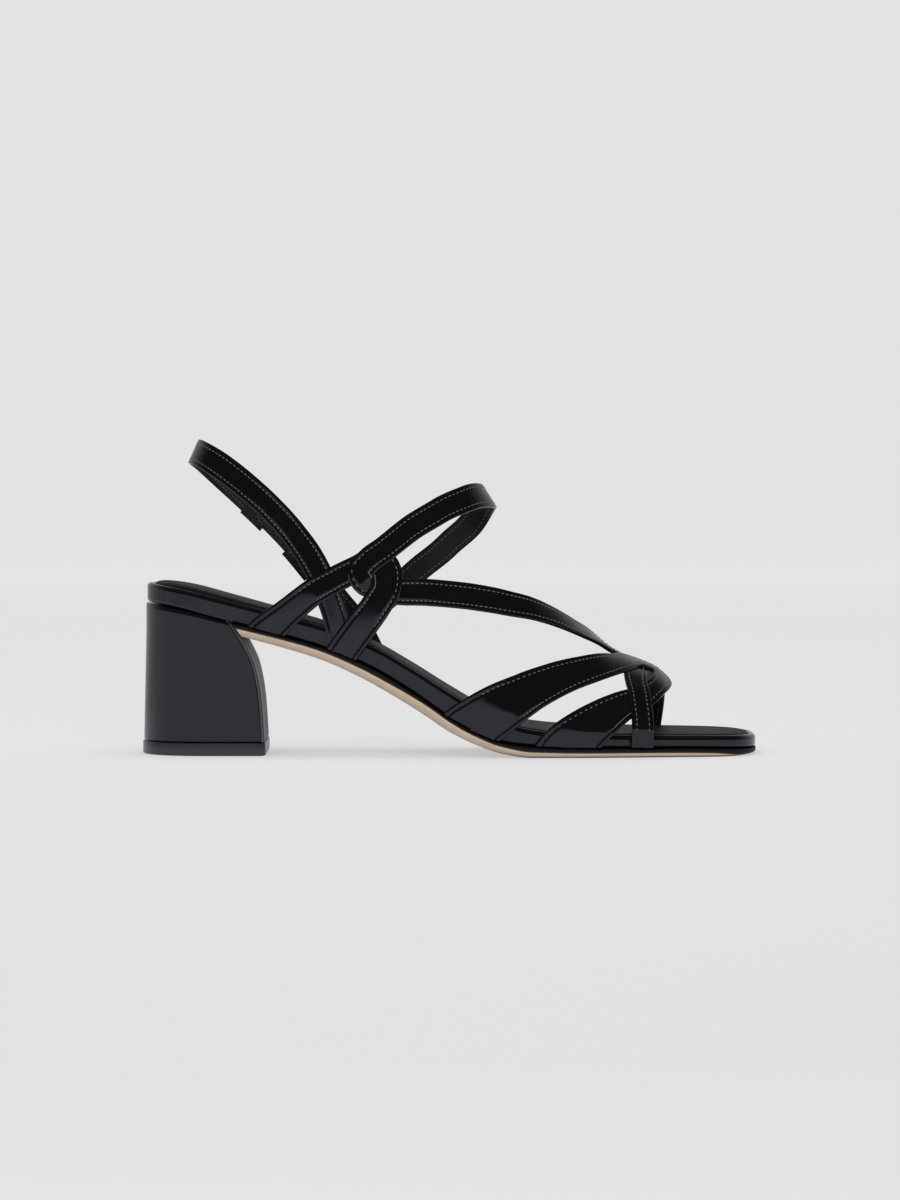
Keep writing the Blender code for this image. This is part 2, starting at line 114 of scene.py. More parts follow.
def colour_mix(tree, factor, low, high, blend="MIX"):
    """A blend of two colours, each given as numbers or as another node's output."""
    node = tree.nodes.new("ShaderNodeMix")
    node.data_type = "RGBA"
    node.blend_type = blend
    tree.links.new(factor, node.inputs["Factor"])
    for socket, colour in (("A", low), ("B", high)):
        if isinstance(colour, tuple):
            node.inputs[socket].default_value = (*colour, 1)
        else:
            tree.links.new(colour, node.inputs[socket])
    return node.outputs["Result"]


def map_range(tree, value, low, high, least=0.0, most=1.0, kind="LINEAR"):
    """A value taken from one range to another, and held at its ends."""
    node = tree.nodes.new("ShaderNodeMapRange")
    node.interpolation_type = kind
    for socket, number in (("From Min", low), ("From Max", high), ("To Min", least), ("To Max", most)):
        node.inputs[socket].default_value = number
    tree.links.new(value, node.inputs["Value"])
    return node.outputs["Result"]


def sum_of(tree, operation, *values):
    """A sum on numbers and other nodes' outputs."""
    node = tree.nodes.new("ShaderNodeMath")
    node.operation = operation
    for socket, value in zip(node.inputs, values):
        if isinstance(value, float):
            socket.default_value = value
        else:
            tree.links.new(value, socket)
    return node.outputs[0]


bpy.ops.object.select_all(action="DESELECT")
bpy.ops.mesh.primitive_plane_add(size=1)
floor = bpy.context.object
floor.name = "floor"
corners = [(x, y, 0) for y in (FLOOR_FRONT, FLOOR_BACK) for x in (-FLOOR_HALF, FLOOR_HALF)]
for vertex, corner in zip(floor.data.vertices, corners):
    vertex.co = corner
floor_paint, tree, shader = new_material("pale_floor", FLOOR_MATT, 0.9)
shader.inputs["Specular IOR Level"].default_value = 0.0
split = place_in(tree, "Object")
tint = colour_mix(tree, map_range(tree, split["Y"], COOL_TO, WARM_FROM), FLOOR_COOL, FLOOR_WARM)
rays = tree.nodes.new("ShaderNodeLightPath")
shown = colour_mix(tree, rays.outputs["Is Glossy Ray"], WHITE, tint)
tree.links.new(shown, shader.inputs["Emission Color"])
away = sum_of(tree, "ABSOLUTE", sum_of(tree, "ADD", split["Y"], NEAR_BEFORE))
glow = map_range(tree, away, 0.0, FAR_OFF, FLOOR_NEAR, FLOOR_FAR)
contact = tree.nodes.new("ShaderNodeAmbientOcclusion")
contact.samples = 16
contact.inputs["Distance"].default_value = SHADE_REACH
shade = map_range(tree, contact.outputs["AO"], 0.0, 1.0, SHADE_LEAST, 1.0)
tree.links.new(sum_of(tree, "MULTIPLY", glow, shade), shader.inputs["Emission Strength"])
floor.data.materials.append(floor_paint)

world = bpy.data.worlds.new("studio")
world.use_nodes = True
bpy.context.scene.world = world
tree = world.node_tree
tree.nodes.clear()
split = place_in(tree, "Generated")
backdrop = map_range(tree, split["Y"], *ROOM_BACK, kind="SMOOTHSTEP")
dimmer = map_range(tree, split["Z"], *ROOM_DIMS, 1.0, ROOM_DIMMEST, "SMOOTHSTEP")
above = map_range(tree, split["Z"], *ROOM_TOP, 0.0, ROOM_TOP_LIGHT, "SMOOTHSTEP")
bright = sum_of(tree, "MAXIMUM", sum_of(tree, "MULTIPLY", backdrop, dimmer), above)
room = colour_mix(tree, bright, ROOM_DARK, ROOM_LIGHT)
front_floor = tuple(FLOOR_NEAR * tint for tint in FLOOR_COOL)
mirrored = colour_mix(tree, map_range(tree, split["Z"], *HORIZON, 1.0, 0.0), room, front_floor)
rays = tree.nodes.new("ShaderNodeLightPath")
light = tree.nodes.new("ShaderNodeBackground")
out = tree.nodes.new("ShaderNodeOutputWorld")
shown = colour_mix(tree, rays.outputs["Is Camera Ray"], mirrored, FLOOR_GREY)
tree.links.new(shown, light.inputs["Color"])
tree.links.new(light.outputs[0], out.inputs["Surface"])

for lamp_name, spot, wide, watts in LAMPS:
    lamp = bpy.data.objects.new(lamp_name, bpy.data.lights.new(lamp_name, "AREA"))
    bpy.context.scene.collection.objects.link(lamp)
    lamp.location = spot
    lamp.data.size = wide
    lamp.data.energy = watts
    lamp.visible_glossy = False
    towards = LAMP_AIM - np.array(spot)
    lamp.rotation_euler = (
        np.arctan2(np.hypot(towards[0], towards[1]), -towards[2]),
        0,
        np.arctan2(towards[1], towards[0]) - np.pi / 2,
    )

# Heel tip
# The replaceable walking tip under the heel, moulded in hard black rubber with a softened edge and a satin
# face, pinned on from below.
HEEL_BACK = 1000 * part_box("footbed")[0].x
HEEL_LINE = 500 * (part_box("heel_tip")[0].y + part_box("heel_tip")[1].y)
TIP_HIGH = 5.0
TIP_FRONT = 48.2
TIP_BACK = -0.75
TIP_WIDER = 0.7
TIP_CORNER = 2.8
TIP_EDGE = (
    # inset, height
    (0.9, 0),
    (0.35, 0.1),
    (0.08, 0.35),
    (0, 0.8),
    (0, 4.6),
    (0.05, 4.82),
    (0.18, 4.95),
    (0.5, TIP_HIGH),
)
HEEL_HALF = 24.2
BACK_DEEP = 24.0
BACK_SQUARE = 0.92
SPINE_COUNT = 25
SIDE_SHARES = (0.5, 0.9)
NOSE = np.linspace(0, 90, 61)
SEAM_WIDE = 4.0
UNEVEN = 0.24
MOTTLE = 0.25
MOTTLE_SCALE = 45
TIP_BLACK = (0.042, 0.042, 0.046)


def in_place(points):
    """From millimetres, along the shoe from its heel, to metres in the part's frame."""
    return (np.asarray(points) + [HEEL_BACK, HEEL_LINE, 0]) * 0.001


def loft(name, rings, node, across=True, sharp=50.0):
    """A closed piece through rings of points. Its ends are filled by strips across, or by one flat face."""
    count, around = rings.shape[:2]
    faces = []
    for i in range(count - 1):
        for k in range(around):
            a, b = i * around + k, i * around + (k + 1) % around
            faces.append((a, b, b + around, a + around))
    cells = [tuple(range(around))]
    if across:
        half = around // 2
        cells = [(0, 1, around - 1), (half - 1, half, half + 1)]
        cells += [(k, k + 1, around - k - 1, around - k) for k in range(1, half - 1)]
    faces += [cell[::-1] for cell in cells]
    faces += [tuple((count - 1) * around + k for k in cell) for cell in cells]
    mesh = bpy.data.meshes.new(name)
    mesh.from_pydata([tuple(p) for p in in_place(rings.reshape(-1, 3))], [], faces)
    mesh.update()
    mesh.shade_smooth()
    mesh.set_sharp_from_angle(angle=np.radians(sharp))
    piece = bpy.data.objects.new(name, mesh)
    bpy.context.scene.collection.objects.link(piece)
    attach(piece, "root")
    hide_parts(node)
    return piece


def add_bump(tree, shader, height, distance):
    """Raises a surface by a height between 0 and 1 times a distance in metres."""
    bump = tree.nodes.new("ShaderNodeBump")
    bump.inputs["Strength"].default_value = 1.0
    bump.inputs["Distance"].default_value = distance
    tree.links.new(height, bump.inputs["Height"])
    tree.links.new(bump.outputs["Normal"], shader.inputs["Normal"])


def noise_at(tree, scale, detail=3.0):
    """Noise fixed to the object, with a scale in features per metre."""
    noise = tree.nodes.new("ShaderNodeTexNoise")
    noise.inputs["Scale"].default_value = scale
    noise.inputs["Detail"].default_value = detail
    place = tree.nodes.new("ShaderNodeTexCoord")
    tree.links.new(place.outputs["Object"], noise.inputs["Vector"])
    return noise


def new_group(name, inputs, outputs):
    """An empty group of shader nodes with named numbers in and out."""
    group = bpy.data.node_groups.new(name, "ShaderNodeTree")
    for socket, most in inputs:
        made = group.interface.new_socket(socket, in_out="INPUT", socket_type="NodeSocketFloat")
        made.min_value, made.max_value = 0, most
    for socket in outputs:
        group.interface.new_socket(socket, in_out="OUTPUT", socket_type="NodeSocketFloat")
    return group, group.nodes.new("NodeGroupInput"), group.nodes.new("NodeGroupOutput")


def grain_group():
    """Grain of a hide or a moulded skin: its height, its roughness and a broad mottling."""
    inputs = (("Scale", 5000), ("Detail", 15), ("Rough", 1))
    group, enter, leave = new_group("fine_grain", inputs, ("Height", "Roughness", "Mottle"))
    pores = noise_at(group, 1000)
    group.links.new(enter.outputs["Scale"], pores.inputs["Scale"])
    group.links.new(enter.outputs["Detail"], pores.inputs["Detail"])
    group.links.new(pores.outputs["Fac"], leave.inputs["Height"])
    centred = sum_of(group, "ADD", enter.outputs["Rough"], -UNEVEN / 2)
    uneven = sum_of(group, "MULTIPLY_ADD", pores.outputs["Fac"], UNEVEN, centred)
    group.links.new(uneven, leave.inputs["Roughness"])
    mottle = noise_at(group, MOTTLE_SCALE, 4.0)
    group.links.new(mottle.outputs["Fac"], leave.inputs["Mottle"])
    return group


fine_grain = grain_group()


def grained(name, colour, rough, scale, deep, detail=3.0):
    """A material with a fine grain, a little lighter in some places than in others."""
    material, tree, shader = new_material(name, colour, rough)
    grain = tree.nodes.new("ShaderNodeGroup")
    grain.node_tree = fine_grain
    grain.inputs["Scale"].default_value = scale
    grain.inputs["Detail"].default_value = detail
    grain.inputs["Rough"].default_value = rough
    darker, lighter = (tuple(share * part for part in colour) for share in (1 - MOTTLE, 1 + MOTTLE))
    tone = colour_mix(tree, grain.outputs["Mottle"], darker, lighter)
    tree.links.new(tone, shader.inputs["Base Color"])
    tree.links.new(grain.outputs["Roughness"], shader.inputs["Roughness"])
    add_bump(tree, shader, grain.outputs["Height"], deep)
    return material, shader


def heel_plan(back, front, half, corner, seams=(), groove=0.0):
    """Plan of the heel at one height: round back, straight sides, flat breast with seamed corners."""
    deep = min(BACK_DEEP, front - back - corner - 1)
    turn = np.linspace(np.pi / 2, 0, SPINE_COUNT)
    spine_x = back + deep * (1 - np.sin(turn) ** BACK_SQUARE)
    spine_y = -half * np.cos(turn) ** BACK_SQUARE
    spine = np.stack([spine_x, spine_y], 1)
    side = [[back + deep + (front - corner - back - deep) * k, -half] for k in SIDE_SHARES]
    reach = np.full(len(NOSE), corner)
    for seam in seams:
        reach -= groove * np.exp(-(((NOSE - seam) / SEAM_WIDE) ** 2))
    bend = np.radians(NOSE)
    nose = np.stack([front - corner + reach * np.sin(bend), -half + corner - reach * np.cos(bend)], 1)
    cross = [[front, (corner - half) * k] for k in (0.66, 0.33, 0.0)]
    lower = np.concatenate([spine, side, nose, cross])
    return np.concatenate([lower, lower[1:-1][::-1] * [1, -1]])


tip_rings = []
for inset, z in TIP_EDGE:
    edge = heel_plan(TIP_BACK + inset, TIP_FRONT - inset, HEEL_HALF + TIP_WIDER - inset, TIP_CORNER)
    tip_rings.append(np.column_stack([edge, np.full(len(edge), z)]))
tip = loft("heel_tip_skin", np.array(tip_rings), "heel_tip")
rubber, _ = grained("tip_rubber", TIP_BLACK, rough=0.24, scale=2500, deep=0.00002)
tip.data.materials.append(rubber)

# Heel block
# A moulded block wrapped in patent leather, drawn tight round the back and turned in at the breast, where a
# narrow welt covers the raw edges on either side. The welt is painted a lighter grey as a highlight, and the
# seam grooves beside it are painted matt black as shade.
BED = (
    # x, top, rim
    (0, 67.5, 7.7),
    (15, 65.0, 7.7),
    (35, 60.1, 7.9),
    (55, 54.9, 7.8),
    (75, 49.2, 8.2),
    (90, 42.9, 8.5),
    (105, 34.4, 8.9),
    (120, 25.0, 9.7),
    (135, 16.5, 8.9),
    (150, 11.2, 6.4),
    (165, 9.5, 5.4),
    (190, 8.7, 4.9),
    (220, 8.3, 4.8),
    (240, 8.0, 5.0),
)
BREAST = (
    # z, x
    (5, 47.9),
    (14, 47.4),
    (24, 46.5),
    (35, 44.3),
    (43, 40.7),
    (48, 37.7),
    (53, 34.4),
    (60, 31.0),
)
HEEL_FLARE = 2.3
HEEL_FLARE_HIGH = 52.0
HEEL_FOOT = 5.35
HEEL_TOP_GAP = 0.45
HEEL_EDGE = (
    # share of the height, inset
    (0, 0.3),
    (0.003, 0.1),
    (0.010, 0.02),
    *((share, 0.0) for share in np.linspace(0.03, 0.97, 26)),
    (0.99, 0.05),
    (0.996, 0.18),
    (1.0, 0.5),
)
HEEL_TOP_BACK = 0.6
HEEL_LEAN = 0.95
HEEL_LEAN_UNDER = 48.0
HEEL_CORNER = 1.7
WELT_SEAMS = (14.0, 64.0)
WELT_GROOVE = 0.45
SEAM_SHADE_WIDE = 4.5
WELT_PAINTED_HIGHLIGHT = (0.10, 0.10, 0.104)
SEAM_PAINTED_SHADE = (0.004, 0.004, 0.004)
BREAST_BLACK = (0.014, 0.014, 0.015)
PATENT_BLACK = (0.0080, 0.0067, 0.0078)
PATENT_ROUGH = 0.045
PATENT_IOR = 1.52
SMEAR_SPREAD = (0.45, 0.75)


def curve(xs, ys, at, flowing=False):
    """A curve through rows. Unless it flows, it doesn't swing past them."""
    xs, ys = np.asarray(xs, float), np.asarray(ys, float)
    step = np.diff(xs)
    rise = np.diff(ys) / step
    if flowing:
        slope = np.gradient(ys, xs)
    else:
        slope = np.concatenate([rise[:1], np.zeros(len(xs) - 2), rise[-1:]])
        before, after = 2 * step[1:] + step[:-1], step[1:] + 2 * step[:-1]
        same = rise[:-1] * rise[1:] > 0
        with np.errstate(divide="ignore", invalid="ignore"):
            mean = (before + after) / (before / rise[:-1] + after / rise[1:])
        slope[1:-1] = np.where(same, mean, 0)
    at = np.clip(np.asarray(at, float), xs[0], xs[-1])
    i = np.clip(np.searchsorted(xs, at, side="right") - 1, 0, len(step) - 1)
    t = (at - xs[i]) / step[i]
    flat = ys[i] * (1 + 2 * t) * (1 - t) ** 2 + ys[i + 1] * t * t * (3 - 2 * t)
    return flat + step[i] * (slope[i] * t * (1 - t) ** 2 + slope[i + 1] * t * t * (t - 1))


def column(table, k, x):
    """A table's column k along its first column."""
    return curve([row[0] for row in table], [row[k] for row in table], x)


def bed_bottom(x):
    return column(BED, 1, x) - column(BED, 2, x)


def heel_at(z, inset=0.0):
    """Plan of the block at a height, set in from its skin."""
    half = HEEL_HALF + HEEL_FLARE * np.clip((z - HEEL_FOOT) / HEEL_FLARE_HIGH, 0, 1)
    front = float(column(BREAST, 1, z))
    lean = np.clip((HEEL_LEAN_UNDER - z) / (HEEL_LEAN_UNDER - HEEL_FOOT), 0, 1)
    back = HEEL_TOP_BACK - HEEL_LEAN * lean
    return heel_plan(back + inset, front - inset, half - inset, HEEL_CORNER, WELT_SEAMS, WELT_GROOVE)


def patent_group():
    """Slight waves and smears of a patent film over leather."""
    inputs = (("Wave Scale", 1000), ("Smear", 1), ("Rough", 1))
    group, enter, leave = new_group("patent_film", inputs, ("Height", "Roughness"))
    waves = noise_at(group, 120, 1.0)
    group.links.new(enter.outputs["Wave Scale"], waves.inputs["Scale"])
    smears = noise_at(group, 60, 5.0)
    smears.inputs["Distortion"].default_value = 0.8
    spread = map_range(group, smears.outputs["Fac"], *SMEAR_SPREAD)
    amount = sum_of(group, "MULTIPLY", spread, enter.outputs["Smear"])
    total = sum_of(group, "ADD", amount, enter.outputs["Rough"])
    group.links.new(total, leave.inputs["Roughness"])
    group.links.new(waves.outputs["Fac"], leave.inputs["Height"])
    return group


patent_film = patent_group()


def patent_leather(name, wave_scale, wave_deep, smear):
    """Black patent leather with its own size of waves and amount of smears."""
    material, tree, shader = new_material(name, PATENT_BLACK, PATENT_ROUGH)
    shader.inputs["IOR"].default_value = PATENT_IOR
    film = tree.nodes.new("ShaderNodeGroup")
    film.node_tree = patent_film
    film.inputs["Wave Scale"].default_value = wave_scale
    film.inputs["Smear"].default_value = smear
    film.inputs["Rough"].default_value = PATENT_ROUGH
    tree.links.new(film.outputs["Roughness"], shader.inputs["Roughness"])
    add_bump(tree, shader, film.outputs["Height"], wave_deep)
    return material


heel_count = len(heel_at(HEEL_FOOT))
heel_top = np.full(heel_count, 50.0)
for _ in range(30):
    heel_x = np.array([heel_at(z)[k, 0] for k, z in enumerate(heel_top)])
    heel_top = bed_bottom(heel_x) - HEEL_TOP_GAP
heel_rings = []
for share, inset in HEEL_EDGE:
    heights = HEEL_FOOT + (heel_top - HEEL_FOOT) * share
    heel_rings.append([(*heel_at(z, inset)[k], z) for k, z in enumerate(heights)])
heel = loft("heel_block_skin", np.array(heel_rings), "heel_block")
heel_patent = patent_leather("heel_patent", wave_scale=40, wave_deep=0.00010, smear=0.05)
# Painted highlight: the welt strips along the breast's turned corners are a lighter grey than the black
# leather.
welt_highlight, shader = grained("welt_highlight", WELT_PAINTED_HIGHLIGHT, rough=0.36, scale=900, deep=0.00004)
shader.inputs["Specular IOR Level"].default_value = 0.35
# Painted shade: the seam grooves get a matt black without sheen.
seam_groove_shade, shader = grained("seam_groove_shade", SEAM_PAINTED_SHADE, rough=0.85, scale=1500, deep=0.00004)
shader.inputs["Specular IOR Level"].default_value = 0.0
breast_leather, _ = grained("breast_leather", BREAST_BLACK, 0.42, 1100, 0.00006, 4.0)
for finish in (heel_patent, welt_highlight, seam_groove_shade, breast_leather):
    heel.data.materials.append(finish)
nose_start = SPINE_COUNT + len(SIDE_SHARES)
for number, face in enumerate(heel.data.polygons[: (len(heel_rings) - 1) * heel_count]):
    k = number % heel_count
    k = min(k, heel_count - 1 - k) - nose_start
    if k < 0:
        continue
    if k >= len(NOSE):
        face.material_index = 3
    else:
        turned = (NOSE[k] + NOSE[min(k + 1, len(NOSE) - 1)]) / 2
        off_seam = min(abs(turned - seam) for seam in WELT_SEAMS)
        # Faces in the seam grooves get the painted shade, the welt faces the painted highlight grey, the
        # rest stays patent.
        face.material_index = 2 if off_seam < SEAM_SHADE_WIDE else 1 if turned > WELT_SEAMS[0] else 0

# Outsole
# A tan leather-board sole, bevelled in under its edge. The top of the edge and the toe are inked black. The
# bare tan edge is painted with shade at the bottom of its bevel and with a highlight at its top, and its
# lowest rim is painted darker with contact shade where it is close to the floor.
SOLE = (
    # x, bottom
    (34, 47.8),
    (40, 46.3),
    (55, 42.3),
    (70, 37.6),
    (84, 31.4),
    (100, 22.5),
    (110, 16.3),
    (120, 9.7),
    (130, 4.9),
    (140, 1.6),
    (152, 0.0),
    (226, 0.0),
    (240, 0.7),
)
PLAN = (
    # x, outer, inner
    (0, 27.5, 27.5),
    (27, 27.5, 27.5),
    (50, 28.0, 27.0),
    (75, 28.6, 25.0),
    (100, 30.2, 23.6),
    (125, 34.0, 26.0),
    (150, 37.3, 33.0),
    (170, 37.4, 37.4),
    (190, 34.8, 38.2),
    (212, 31.0, 36.4),
    (240, 28.0, 33.0),
)
BARE = (
    # x, height of the edge that is left tan
    (36, 2.6),
    (60, 3.1),
    (90, 3.6),
    (112, 4.2),
    (128, 3.3),
    (142, 2.6),
    (155, 2.1),
    (170, 1.8),
    (200, 1.75),
    (222, 1.45),
    (233, 0.2),
    (240, -1.0),
)
LENGTH = 240.0
BED_BACK = 1.05
HEEL_ROUND = 27.0
TOE_ROUND = 28.0
SOLE_START = 39.3
SOLE_GAP = 0.35
BREAST_GAP = 0.4
TOE_NARROWS = 26.0
TOE_LEAST = 0.1
# Painted light on the bare tan edge: a lighter tan as a highlight at its top, a darker one as shade at the
# bottom of the bevel.
TAN_PAINTED_HIGHLIGHT = (0.84, 0.70, 0.54)
TAN_PAINTED_SHADE = (0.60, 0.46, 0.40)
INK_BLACK = (0.010, 0.010, 0.011)
INK_BROWN = (0.10, 0.055, 0.040)
INK_EDGE = 0.15
INK_FADE = 0.6
GRAIN_STRETCH = (0.12, 0.5, 1.0)
GRAIN_TINT = (0.72, 0.69, 0.64)
# Painted contact shade: the lowest rim of the edge is darkened where the sole is close to the floor.
CONTACT_SHADE_BROWN = (0.055, 0.038, 0.027)
CONTACT_SHADE_FROM, CONTACT_SHADE_TO = 0.3, 0.85
CONTACT_SHADE_UP_TO = 4.0


def plan(x):
    """The footbed's outer and inner edge, as y, with the heel and toe rounded off."""
    outer, inner = column(PLAN, 1, x), column(PLAN, 2, x)
    heel_end = np.clip((HEEL_ROUND - x) / (HEEL_ROUND - BED_BACK), 0, 1)
    toe_end = np.clip((x - LENGTH + TOE_ROUND) / TOE_ROUND, 0, 1)
    half = (outer + inner) / 2 * np.sqrt(1 - heel_end**2) * np.cbrt(1 - toe_end**3)
    middle = (inner - outer) / 2
    return middle - half, middle + half


def layer(name, node, edges, start=0.0, pitch=2.0):
    """A layer under the foot: rings round its plan, each set in from the edge, from bottom to top."""
    toe = LENGTH - TOE_ROUND
    heel_x = np.array([start, start])
    if start == 0:
        heel_x = HEEL_ROUND - (HEEL_ROUND - BED_BACK) * np.cos(np.linspace(0, np.pi / 2, 25))
    toe_x = toe + TOE_ROUND * np.sin(np.linspace(0, np.pi / 2, 27)) ** (2 / 3)
    waist_x = np.linspace(heel_x[-1], toe, int((toe - heel_x[-1]) / pitch))
    xs = np.concatenate([heel_x[:-1], waist_x[:-1], toe_x])
    low, high = plan(xs)
    middle = (low + high) / 2
    tail = [[xs[0], middle[0]]]
    head = [[xs[-1], middle[-1]]]
    outer = np.stack([xs, low], 1)[1:-1]
    inner = np.stack([xs, high], 1)[1:-1][::-1]
    rim = np.concatenate([tail, outer, head, inner])
    along = np.roll(rim, -1, 0) - np.roll(rim, 1, 0)
    if start > 0:
        along[1], along[-1] = rim[2] - rim[1], rim[-1] - rim[-2]
    along /= np.linalg.norm(along, axis=1)[:, None]
    inward = np.stack([-along[:, 1], along[:, 0]], 1)
    rings = []
    for inset, height in edges:
        spread = np.clip((LENGTH - rim[:, :1]) / TOE_NARROWS, TOE_LEAST, 1) if inset < 0 else 1.0
        place = rim + inward * inset * spread
        if start > 0:
            for _ in range(12):
                place[[0, 1, -1], 0] = column(BREAST, 1, height(place[[0, 1, -1], 0])) + BREAST_GAP
        rings.append(np.column_stack([place, height(place[:, 0])]))
    return loft(name, np.array(rings), node)


def under_bed(rise):
    """Height over the footbed's underside."""
    return lambda x: bed_bottom(x) + rise


def attribute_of(tree, name):
    """A mark that a mesh carries from point to point."""
    node = tree.nodes.new("ShaderNodeAttribute")
    node.attribute_name = name
    return node.outputs["Fac"]


def up_sole(share, rise=0.0):
    """Height at a share of the way from the sole's bottom to its ledge under the footbed."""
    return lambda x: column(SOLE, 1, x) * (1 - share) + (bed_bottom(x) - SOLE_GAP) * share + rise


sole_edges = (
    # inset, height
    (6.0, up_sole(0)),
    (2.6, up_sole(0)),
    (1.2, up_sole(0, 0.05)),
    (0.6, up_sole(0, 0.2)),
    (0.2, up_sole(0.15, 0.15)),
    (-0.2, up_sole(0.28, 0.05)),
    (-0.7, up_sole(0.45)),
    (-1.0, up_sole(0.58)),
    (-1.2, up_sole(0.7)),
    (-1.28, up_sole(1, -0.75)),
    (-1.3, up_sole(1, -0.4)),
    (-1.2, up_sole(1, -0.1)),
    (-1.0, up_sole(1)),
)
sole = layer("outsole_skin", "outsole", sole_edges, SOLE_START)
spots = np.empty(len(sole.data.vertices) * 3, np.float32)
sole.data.vertices.foreach_get("co", spots)
spots = spots.reshape(-1, 3) * 1000 - [HEEL_BACK, HEEL_LINE, 0]
bottom, bare = column(SOLE, 1, spots[:, 0]), column(BARE, 1, spots[:, 0])
over_line = spots[:, 2] - bottom - bare
# Painted contact shade, strongest at the very bottom of the edge, and only where the sole's bottom is near
# the floor.
floor_shade = np.clip((CONTACT_SHADE_TO - spots[:, 2] + bottom) / (CONTACT_SHADE_TO - CONTACT_SHADE_FROM), 0, 1)
sole_marks = {
    "over_ink_line": over_line,
    "edge_painted_light": np.clip(1 + over_line / np.maximum(bare, 0.5), 0, 1),
    "painted_contact_shade": floor_shade * np.clip(1 - bottom / CONTACT_SHADE_UP_TO, 0, 1),
}
sole_board, tree, shader = new_material("tan_sole_board", TAN_PAINTED_HIGHLIGHT, 0.5)
shader.inputs["Specular IOR Level"].default_value = 0.15
marked = {}
for mark_name, values in sole_marks.items():
    mark = sole.data.attributes.new(mark_name, "FLOAT", "POINT")
    mark.data.foreach_set("value", values.astype(np.float32))
    marked[mark_name] = attribute_of(tree, mark_name)
grain = noise_at(tree, 900, 6.0)
stretch = tree.nodes.new("ShaderNodeMapping")
stretch.inputs["Scale"].default_value = GRAIN_STRETCH
tree.links.new(grain.inputs["Vector"].links[0].from_socket, stretch.inputs["Vector"])
tree.links.new(stretch.outputs[0], grain.inputs["Vector"])
# Painted shade at the foot of the bare tan edge, rising to a painted highlight at its top.
tan = colour_mix(tree, marked["edge_painted_light"], TAN_PAINTED_SHADE, TAN_PAINTED_HIGHLIGHT)
board = colour_mix(tree, grain.outputs["Fac"], tan, GRAIN_TINT, "MULTIPLY")
# Painted contact shade on the lowest rim.
contact_shaded = colour_mix(tree, marked["painted_contact_shade"], board, CONTACT_SHADE_BROWN)
ink_depth = map_range(tree, marked["over_ink_line"], 0.0, INK_FADE)
ink = colour_mix(tree, ink_depth, INK_BROWN, INK_BLACK)
inked = map_range(tree, marked["over_ink_line"], -INK_EDGE, INK_EDGE)
tree.links.new(colour_mix(tree, inked, contact_shaded, ink), shader.inputs["Base Color"])
add_bump(tree, shader, grain.outputs["Fac"], 0.00003)
sole.data.materials.append(sole_board)

# Footbed
# The board under the foot, its edge wrapped in patent leather that turns over a soft rim at the top and is
# tucked in above the sole.
FULL_TO = 80.0
FULL_OVER = 60.0


def over_bed(rise, bulge=0.0):
    """Height over the footbed's rim, with a bulge that grows towards the heel."""
    return lambda x: column(BED, 1, x) + rise + bulge * np.clip((FULL_TO - x) / FULL_OVER, 0, 1)


rim_edges = (
    # inset, height
    (9.0, under_bed(0)),
    (3.0, under_bed(0)),
    (1.2, under_bed(0.06)),
    (0.5, under_bed(0.3)),
    (0.12, under_bed(0.75)),
    (0, under_bed(1.4)),
    (0, under_bed(1.55)),
    (0, over_bed(-1.85)),
    (0, over_bed(-1.7)),
    (0.06, over_bed(-1.25)),
    (0.28, over_bed(-0.75)),
    (0.7, over_bed(-0.33)),
    (1.25, over_bed(-0.08)),
    (1.8, over_bed(0)),
    (2.3, over_bed(-0.1)),
    (2.55, over_bed(-0.4)),
    (2.6, over_bed(-1.2)),
    (9.0, over_bed(-1.2)),
)
rim = layer("footbed_skin", "footbed", rim_edges)
rim.data.materials.append(patent_leather("rim_patent", wave_scale=60, wave_deep=0.00004, smear=0.04))

# Sock
# The leather sock glued on the footbed inside its rim, smooth and black with a low sheen, and fullest at
# the heel.
SOCK_BLACK = (0.009, 0.009, 0.0095)
sock_edges = (
    # inset, height
    (3.5, over_bed(-0.85)),
    (3.05, over_bed(-0.6)),
    (3.0, over_bed(-0.2)),
    (3.12, over_bed(0.08, 0.05)),
    (3.5, over_bed(0.25, 0.2)),
    (4.2, over_bed(0.4, 0.45)),
    (5.2, over_bed(0.51, 0.74)),
    (6.6, over_bed(0.57, 1.0)),
    (8.5, over_bed(0.6, 1.2)),
    (12.0, over_bed(0.62, 1.35)),
    (16.0, over_bed(0.63, 1.45)),
)
sock = layer("insole_sock_skin", "insole_sock", sock_edges)
sock_leather, shader = grained("sock_leather", SOCK_BLACK, 0.5, 1300, 0.00012, 5.0)
shader.inputs["Specular IOR Level"].default_value = 0.17
sock.data.materials.append(sock_leather)

# Last
# The form that the straps are pulled over: the footbed's edge below, the ridge of the foot above, and an
# elliptical arch between.
OFF_RIM = 0.45
FOOT_GAP = 0.15
RIDGE = (
    # x, z, y
    (40, 215, 0),
    (90, 168, 0),
    (110, 139, 0),
    (125, 115, 1),
    (134, 100.5, 1),
    (145, 83, 2),
    (158, 64, 3),
    (172, 49, 4),
    (185, 37.8, 5),
    (193, 34.2, 5),
    (199, 32.0, 5),
    (206, 27.0, 5),
    (216, 20, 5),
    (240, 14, 4),
)


def foot_level(x):
    """Where a strap's foot ends, just above the sole."""
    return bed_bottom(x) + FOOT_GAP


